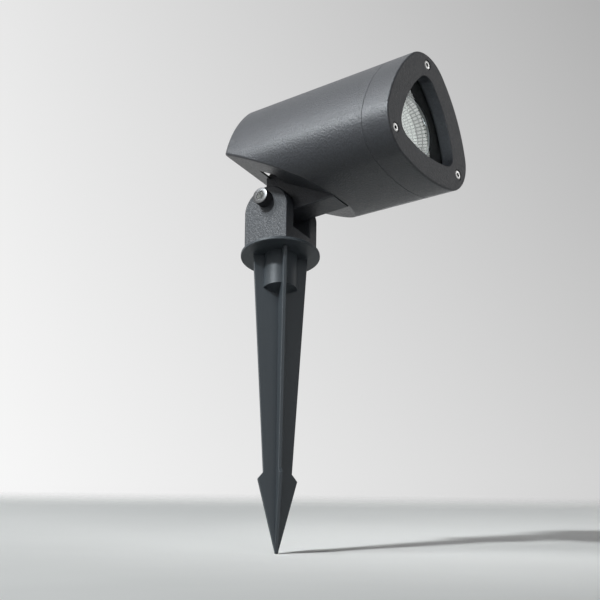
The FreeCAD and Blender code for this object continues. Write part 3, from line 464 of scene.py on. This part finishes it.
def faceted_reflector():
    """Reflector of the lamp: pillow-shaped facets in rings inside a smooth pressed-glass bowl."""
    low, high = box_of("lamp_bowl")
    axis_y, axis_z = (low.y + high.y) / 2, (low.z + high.z) / 2
    outer = (high.y - low.y) / 2
    length = high.x - low.x
    count = BOWL_FLUTES * FACET_STEPS
    ring_steps = BOWL_RINGS * FACET_STEPS
    points = []

    def add_point(depth, reach, turn):
        points.append((high.x - depth, axis_y + reach * math.cos(turn),
                       axis_z + reach * math.sin(turn)))

    for step in range(ring_steps + 1):
        radius = BOWL_MOUTH + (BOWL_THROAT - BOWL_MOUTH) * step / ring_steps
        share = (radius - BOWL_THROAT) / (BOWL_MOUTH - BOWL_THROAT)
        slope = math.atan2(2 * BOWL_DEPTH * share, BOWL_MOUTH - BOWL_THROAT)
        depth = LAMP_COVER + BOWL_DEPTH * (1 - share ** 2)
        ring_crown = pillow((step % FACET_STEPS) / FACET_STEPS)
        for i in range(count):
            bulge = FACET_BULGE * ring_crown * pillow((i % FACET_STEPS) / FACET_STEPS)
            add_point(depth - bulge * math.cos(slope), radius - bulge * math.sin(slope),
                      2 * math.pi * i / count)

    throat_end = LAMP_COVER + BOWL_DEPTH + THROAT_LENGTH
    closing = [(throat_end, BOWL_THROAT), (throat_end, BOWL_THROAT / 4)]
    outside = [(length, BOWL_THROAT), (length, BOWL_NECK)]
    outside += [(length * along, outer * reach) for along, reach in BOWL_BACK]
    outside += [(BOWL_COLLAR, outer), (RIM_BEVEL_DEPTH, outer), (0, outer - RIM_BEVEL_WIDTH)]
    rim = [(0, BOWL_MOUTH + RIM_LIP_WIDTH), (RIM_LIP_DEPTH, BOWL_MOUTH)]
    for depth, reach in closing + outside + rim:
        for i in range(count):
            turn = 2 * math.pi * i / count
            dot = RIM_DOT_DEPTH * max(0, math.sin(RIM_DOTS * turn)) if depth == 0 else 0
            add_point(depth + dot, reach, turn)

    faces = []
    face_materials = []

    def band(row, next_row, material=MIRROR_PART):
        for i in range(count):
            j = (i + 1) % count
            faces.append((row * count + i, next_row * count + i,
                          next_row * count + j, row * count + j))
            face_materials.append(material)

    def lid(row):
        faces.append(tuple(row * count + i for i in range(count)))
        face_materials.append(MIRROR_PART)

    throat_row = ring_steps + 1
    for row in range(throat_row + 1):
        band(row, row + 1)
    lid(throat_row + 1)
    first_outside = throat_row + len(closing)
    lid(first_outside)
    last = first_outside + len(outside) + len(rim) - 1
    rim_row = last - len(rim) - RIM_EDGE_ROWS
    for row in range(first_outside, last):
        band(row, row + 1, RIM_PART if row >= rim_row else MIRROR_PART)
    band(last, 0, RIM_PART)
    bowl = mesh_object("lamp_reflector_facets", points, faces, [mirror, pressed_glass],
                       face_materials, FACET_SHARP)
    stand_in(bowl, "head", "lamp_reflector", "lamp_bowl")


def lamp_filament():
    """Coil inside the capsule, on two posts."""
    low, high = box_of("lamp_burner")
    axis_y, axis_z = (low.y + high.y) / 2, (low.z + high.z) / 2
    middle = (low.x + high.x) / 2 + COIL_FORWARD
    foot = low.x + POST_FOOT
    half = COIL_LENGTH / 2
    route = [(foot, axis_y - POST_APART, axis_z), (middle, axis_y - half - POST_BESIDE, axis_z)]
    for i in range(COIL_TURNS * COIL_STEPS + 1):
        turn = 2 * math.pi * i / COIL_STEPS
        along = COIL_LENGTH * i / (COIL_TURNS * COIL_STEPS)
        route.append((middle + COIL_RADIUS * math.sin(turn), axis_y - half + along,
                      axis_z + COIL_RADIUS * math.cos(turn)))
    route += [(middle, axis_y + half + POST_BESIDE, axis_z), (foot, axis_y + POST_APART, axis_z)]
    curve = bpy.data.curves.new("filament_coil", "CURVE")
    curve.dimensions = "3D"
    curve.bevel_depth = COIL_WIRE
    spline = curve.splines.new("POLY")
    spline.points.add(len(route) - 1)
    for point, place in zip(spline.points, route):
        point.co = (*place, 1)
    curve.materials.append(zinc)
    stand_in(new_object("filament_coil", curve), "head", "zinc_steel")


faceted_reflector()
lamp_filament()


# ---------------------------------------------------------------- socket screws
ScrewSize = namedtuple("ScrewSize", "head_height flats radius pitch")
CAP_SCREW = ScrewSize(4 * MM, 3 * MM, 2 * MM, 0.7 * MM)
CAP_SCREW_HEAD = 3.5 * MM     # radius
CAP_SCREW_LENGTH = 30 * MM
TILT_BOLT = ScrewSize(8 * MM, 6 * MM, 4 * MM, 1.25 * MM)
SWIVEL_BOLT = ScrewSize(5 * MM, 6 * MM, 4 * MM, 1.25 * MM)
SWIVEL_BOLT_HEAD = 6.5 * MM
SCREW_SIDES = 144
SCREW_SHARP = 25              # degrees
KNURL_RIDGES = 36
KNURL_DEPTH = 0.035           # of the head's radius, as is the rim
HEAD_RIM = 0.05
SOCKET_DEPTH = 0.58           # of the head's height
DRILL_POINT = 1.12            # depth of the socket's pointed floor, over the socket's
DRILL_TIP = 0.05              # of the flats, as is the bevel
SOCKET_BEVEL = 0.06
PLAIN_SHANK = 0.35            # of the length, before the thread
GROOVE_DEPTH = 0.54           # of the pitch
FACE_PART, KNURL_PART, SOCKET_PART = 0, 1, 2          # a screw's three materials


def hexagon(flats):
    """Radius of a hexagon, `flats` across, at any turn."""
    def reach(turn):
        return flats / 2 / math.cos((turn + math.pi / 6) % (math.pi / 3) - math.pi / 6)
    return reach


def knurl(radius, depth, ridges):
    """Radius of a knurled head at any turn."""
    def reach(turn):
        return radius - depth * (0.5 - 0.5 * math.cos(ridges * turn))
    return reach


def screw_stations(size, head_radius, length):
    """A socket head screw from its socket's floor outwards to its tip."""
    height, flats, radius, pitch = size
    socket = hexagon(flats)
    bevel = flats * SOCKET_BEVEL
    grip = knurl(head_radius, head_radius * KNURL_DEPTH, KNURL_RIDGES)
    rim = head_radius * HEAD_RIM
    depth = height * SOCKET_DEPTH
    stations = [(depth * DRILL_POINT, flats * DRILL_TIP, SOCKET_PART), (depth, socket, SOCKET_PART),
                (bevel, socket, FACE_PART), (0, lambda turn: socket(turn) + bevel, FACE_PART),
                (0, head_radius - rim * 1.4, FACE_PART),
                (rim * 0.35, head_radius - rim * 0.5, FACE_PART),
                (rim, head_radius - rim * 0.1, KNURL_PART), (rim * 1.5, grip, KNURL_PART),
                (height - rim, grip, KNURL_PART),
                (height - rim * 0.5, head_radius - rim * 0.4, KNURL_PART),
                (height, head_radius - rim, FACE_PART), (height, radius, FACE_PART)]
    groove = GROOVE_DEPTH * pitch
    along = height + length * PLAIN_SHANK
    stations.append((along, radius, FACE_PART))
    while along < height + length - 2 * pitch:
        stations.append((along + pitch * 0.5, radius - groove, FACE_PART))
        stations.append((along + pitch, radius, FACE_PART))
        along += pitch
    stations.append((height + length - pitch * 0.5, radius - groove * 0.3, FACE_PART))
    stations.append((height + length, radius - groove, FACE_PART))
    return stations


def socket_screws(name, body, tops, axis, stations, materials):
    """Screws on parallel axes, `tops` the middles of their heads' faces."""
    lathe = Lathe()
    for top in tops:
        lathe.turn(top, axis, stations, SCREW_SIDES)
    screws = lathe.build(name + "_detailed", materials, SCREW_SHARP)
    stand_in(screws, body, "stainless", name)


def cap_screws():
    low, high = box_of("cap_screws")
    top_z = high.z - CAP_SCREW_HEAD
    low_z = low.z + CAP_SCREW_HEAD
    side_y = high.y - CAP_SCREW_HEAD
    tops = [(high.x, 0, top_z), (high.x, side_y, low_z), (high.x, -side_y, low_z)]
    # The cap screws' knurled sides and sockets are matt black: painted shade in the gap round each head
    # and inside each socket
    socket_screws("cap_screws", "head", tops, (-1, 0, 0),
                  screw_stations(CAP_SCREW, CAP_SCREW_HEAD, CAP_SCREW_LENGTH),
                  [stainless, black_paint_and_painted_shade, black_paint_and_painted_shade])


def tilt_bolt():
    # The knurled barrel is dark steel that also stands for the shade on it
    low, high = box_of("tilt_bolt")
    centre = (low + high) / 2
    length = high.y - low.y - TILT_BOLT.head_height
    # The pale socket floor is a painted highlight
    socket_screws("tilt_bolt", "bracket", [(centre.x, low.y, centre.z)], (0, 1, 0),
                  screw_stations(TILT_BOLT, (high.z - low.z) / 2, length),
                  [bolt_steel, dark_steel_and_painted_shade, socket_highlight_paint])


def swivel_bolt():
    low, high = box_of("swivel_bolt")
    length = high.z - low.z - SWIVEL_BOLT.head_height
    # The socket is dark steel: painted shade inside it
    socket_screws("swivel_bolt", "stake", [(0, 0, high.z)], (0, 0, -1),
                  screw_stations(SWIVEL_BOLT, SWIVEL_BOLT_HEAD, length),
                  [stainless, stainless, dark_steel_and_painted_shade])


cap_screws()
tilt_bolt()
swivel_bolt()


# ---------------------------------------------------------------- camera
def camera_axes():
    """Backward, right and up of the camera, and its right before the roll."""
    a, e, r = (math.radians(v) for v in (CAMERA_AZIMUTH, CAMERA_ELEVATION, CAMERA_ROLL))
    back = Vector((math.sin(a) * math.cos(e), -math.cos(a) * math.cos(e), math.sin(e)))
    level = Vector((math.cos(a), math.sin(a), 0))
    rise = back.cross(level)
    right = level * math.cos(r) + rise * math.sin(r)
    up = rise * math.cos(r) - level * math.sin(r)
    return back, right, up, level


back, right, up, level = camera_axes()


def make_camera():
    data = bpy.data.cameras.new("camera")
    data.lens = CAMERA_LENS
    data.sensor_width = SENSOR_WIDTH
    data.clip_end = CAMERA_SIGHT
    camera = new_object("camera", data)
    turned = Matrix((right, up, back)).transposed().to_4x4()
    target = level * TARGET_RIGHT + Vector((0, 0, TARGET_Z))
    camera.matrix_world = Matrix.Translation(target + back * CAMERA_DISTANCE) @ turned
    bpy.context.scene.camera = camera


make_camera()


# ---------------------------------------------------------------- stage
# The camera looks up at the lamp and yet a little down on the floor, so the floor is a sheet through
# the spike's tip, tilted to the camera. A level floor at the tip is there for the other sides. Both
# are seen from above alone.
FLOOR_GLANCE = 1.8            # degrees by which the camera's axis looks down on the tilted floor
FLOOR_AWAY = 0.76             # how far the tilted floor runs behind the tip
FLOOR_NEAR = 0.75
FLOOR_SIDE = 0.38
FLOOR_FADE = 0.22             # soft far and near edges of the tilted floor
FLOOR_SIDE_FADE = 0.12
FLOOR_PASS = 0.6              # share of other light that the tilted floor lets through
# The tilted floor's paint turns paler away from the tip: painted light, making up for the lamps' light
# that fades on the far floor
FLOOR_PAINT_NEAR = (0.80, 0.78, 0.745, 1)
FLOOR_PAINT_FAR_PAINTED_LIGHT = (0.95, 0.93, 0.89, 1)
FLOOR_PAINTED_LIGHT_SPAN = (-0.2, 0.4)     # where the paint starts and ends to turn paler, from the tip away
FLOOR_CLOUD = 9
FLOOR_CLOUD_SHARE = 0.3       # of the change from the near paint to the far one
LEVEL_REACH = 1.3
LEVEL_SOLID = 0.35            # where the level floor begins to fade out
LEVEL_PAINT = (0.90, 0.89, 0.87)
LEVEL_CLOUD = 3
VIEW_EDGE = 0.043             # sine of the angle from the middle of the picture to its edge
BACKDROP_FOOT = -0.6 * VIEW_EDGE   # height below which the backdrop's low colours hold
# Grey levels of the backdrop's corners, darker to the upper right and paler to the lower left, as
# painted shade
BACKDROP_TOP_LEFT = 0.80
BACKDROP_TOP_RIGHT = 0.44
BACKDROP_LOW_LEFT = 0.93
BACKDROP_LOW_RIGHT = 0.65
GLOW_NEAR = (0.035, 0.039, 0.047, 1)
GLOW_BEHIND = (0.08, 0.08, 0.08, 1)
GLOW_SPAN = (-0.5, 0.9)       # cosines to the line of sight, from the near glow to the one behind
GLOW_BELOW = 1.2              # the surroundings' light from below, as a share of that from above
GLOW_BELOW_SPAN = (0.1, -0.5)  # sines of the height at which it begins and is full

glance = math.radians(FLOOR_GLANCE)
floor_away = up * math.sin(glance) - back * math.cos(glance)
TIP = Vector((0, 0, cad_low.z))


def sheet(name, corners, material):
    mesh = bpy.data.meshes.new(name)
    mesh.from_pydata([tuple(c) for c in corners], [], [tuple(range(len(corners)))])
    mesh.materials.append(material)
    new_object(name, mesh)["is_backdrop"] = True


def background_ray(n):
    """1 for the rays that show the pale background: camera, mirror and glass rays."""
    path = n.add("ShaderNodeLightPath")
    through = n.math("MAXIMUM", path.outputs["Is Glossy Ray"], path.outputs["Is Transmission Ray"])
    return n.math("MAXIMUM", path.outputs["Is Camera Ray"], through)


def tilted_floor_paint():
    """Pale matt floor, seen from above alone, with soft edges; some of the other light passes it."""
    n = Nodes("pale_tilted_floor")
    where = n.place()
    along = n.math("SUBTRACT", n.dot(where, floor_away), TIP.dot(floor_away))
    cloud = n.math("MULTIPLY", n.noise(FLOOR_CLOUD, 3, 0.5, where), FLOOR_CLOUD_SHARE)
    # Paler away from the tip as painted light, with random clouds
    tone = n.math("ADD", cloud, n.span(along, *FLOOR_PAINTED_LIGHT_SPAN, 0.0, 1 - FLOOR_CLOUD_SHARE))
    paint = n.diffuse(n.mix_colour(tone, FLOOR_PAINT_NEAR, FLOOR_PAINT_FAR_PAINTED_LIGHT))
    across = n.math("SUBTRACT", n.dot(where, level), TARGET_RIGHT)
    far = n.span(along, FLOOR_AWAY - FLOOR_FADE, FLOOR_AWAY)
    near = n.span(along, FLOOR_FADE - FLOOR_NEAR, -FLOOR_NEAR)
    beside = n.span(n.math("ABSOLUTE", across), FLOOR_SIDE - FLOOR_SIDE_FADE, FLOOR_SIDE)
    edge = n.math("MAXIMUM", n.math("MAXIMUM", far, near), beside)
    passed = n.math("MULTIPLY", n.math("SUBTRACT", 1.0, background_ray(n)), FLOOR_PASS)
    hidden = n.math("MAXIMUM", n.math("MAXIMUM", edge, n.backfacing()), passed)
    return n.finish(n.mix_shader(hidden, paint, n.clear()))


def level_floor_paint():
    """Pale matt floor for the rays that show the background, from above alone; others pass it."""
    n = Nodes("pale_level_floor")
    where = n.place()
    dark, light = shades(LEVEL_PAINT, 0.97, 1.02)
    paint = n.diffuse(n.mix_colour(n.noise(LEVEL_CLOUD, 2, 0.5, where), dark, light))
    distance = n.add("ShaderNodeVectorMath", {0: where}, operation="LENGTH").outputs["Value"]
    front = n.math("SUBTRACT", 1.0, n.backfacing())
    seen = n.math("MULTIPLY", front, background_ray(n))
    seen = n.math("MULTIPLY", seen, n.span(distance, LEVEL_SOLID, LEVEL_REACH, 1.0, 0.0))
    return n.finish(n.mix_shader(seen, n.clear(), paint))


def make_floors():
    side = level * FLOOR_SIDE
    middle = TIP + level * TARGET_RIGHT
    near_end = middle - floor_away * FLOOR_NEAR
    far_end = middle + floor_away * FLOOR_AWAY
    sheet("tilted_floor", [near_end - side, near_end + side, far_end + side, far_end - side],
          tilted_floor_paint())
    corners = [(-1, -1), (1, -1), (1, 1), (-1, 1)]
    sheet("level_floor", [(x * LEVEL_REACH, y * LEVEL_REACH, TIP.z) for x, y in corners],
          level_floor_paint())


def world():
    """Pale backdrop for the rays that show it; other light comes brighter from behind the lamp."""
    n = Nodes("pale_surroundings", world=True)
    way = n.add("ShaderNodeTexCoord").outputs["Generated"]
    # The backdrop's fall from pale at the lower left to darker at the upper right is painted shade
    to_right = n.ramp(n.dot(way, right), -VIEW_EDGE, VIEW_EDGE)
    above = n.mix_colour(to_right, grey(BACKDROP_TOP_LEFT), grey(BACKDROP_TOP_RIGHT))
    below = n.mix_colour(to_right, grey(BACKDROP_LOW_LEFT), grey(BACKDROP_LOW_RIGHT))
    pale = n.mix_colour(n.ramp(n.dot(way, up), VIEW_EDGE, BACKDROP_FOOT), above, below)
    seen = n.add("ShaderNodeBackground", {"Color": pale}).outputs[0]
    glow = n.mix_colour(n.span(n.dot(way, -back), *GLOW_SPAN), GLOW_NEAR, GLOW_BEHIND)
    strength = n.span(n.dot(way, (0, 0, 1)), *GLOW_BELOW_SPAN, 1.0, GLOW_BELOW)
    light = n.add("ShaderNodeBackground", {"Color": glow, "Strength": strength}).outputs[0]
    shader = n.mix_shader(background_ray(n), light, seen)
    n.add("ShaderNodeOutputWorld", {"Surface": shader})
    bpy.context.scene.world = n.data


make_floors()
world()


# ---------------------------------------------------------------- light
HEAD = Vector((0.05, 0, 0.05))
CAP = Vector((0.11, 0, 0.06))
BOWL_FRONT = Vector((box_of("lamp_cover")[0].x - 0.3 * MM, 0, LAMP_AXIS_Z))
WINDOW_WALL = Vector((cad_high.x - 8 * MM, 25 * MM, LAMP_AXIS_Z - 8 * MM))


def softbox(name, aim, way, distance, size, power, colour=(1, 1, 1), shape="SQUARE", spread=180):
    """A flat light that faces `aim` from the direction `way`, its beam `spread` degrees wide."""
    data = bpy.data.lights.new(name, "AREA")
    data.shape = shape
    data.size = size
    data.energy = power
    data.color = colour
    data.spread = math.radians(spread)
    lamp = new_object(name, data)
    way = Vector(way).normalized()
    lamp.location = aim + way * distance
    lamp.rotation_mode = "QUATERNION"
    lamp.rotation_quaternion = (-way).to_track_quat("-Z", "Y")
    lamp.visible_camera = False
    return lamp


softbox("top_softbox", CAP, (-0.40, -0.58, 0.66), distance=0.7, size=0.26, power=0.34,
        colour=(0.92, 0.96, 1.0), spread=56)
softbox("side_softbox", HEAD, (-0.18, -0.82, 0.54), distance=2.4, size=0.22, power=45.0,
        colour=(0.90, 0.96, 1.0))
softbox("front_softbox", HEAD, (0.75, -0.64, 0.10), distance=1.4, size=0.7, power=0.34,
        colour=(0.98, 0.99, 1.0), spread=50)
softbox("low_softbox", HEAD, (-0.45, -0.88, 0.08), distance=1.5, size=0.8, power=0.7,
        colour=(0.90, 0.95, 1.0))
softbox("rear_softbox", HEAD, (0.47, 0.73, 0.50), distance=1.5, size=0.3, power=0.50)
softbox("back_softbox", HEAD, (-0.30, 0.88, 0.36), distance=1.5, size=0.6, power=2.0)

# Two small lights inside the head: at the window's inner wall and in front of the reflector
window_fill = softbox("window_fill", WINDOW_WALL, (0.15, -0.97, -0.15), distance=45 * MM,
                      size=12 * MM, power=0.007, colour=(0.85, 0.93, 1.0))
bowl_fill = softbox("bowl_fill", BOWL_FRONT, (1, 0, 0), distance=0, size=47.6 * MM, power=0.0020,
                    shape="DISK")
for inner_light in (window_fill, bowl_fill):
    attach(inner_light, "head")

bpy.context.scene.view_settings.view_transform = "Standard"
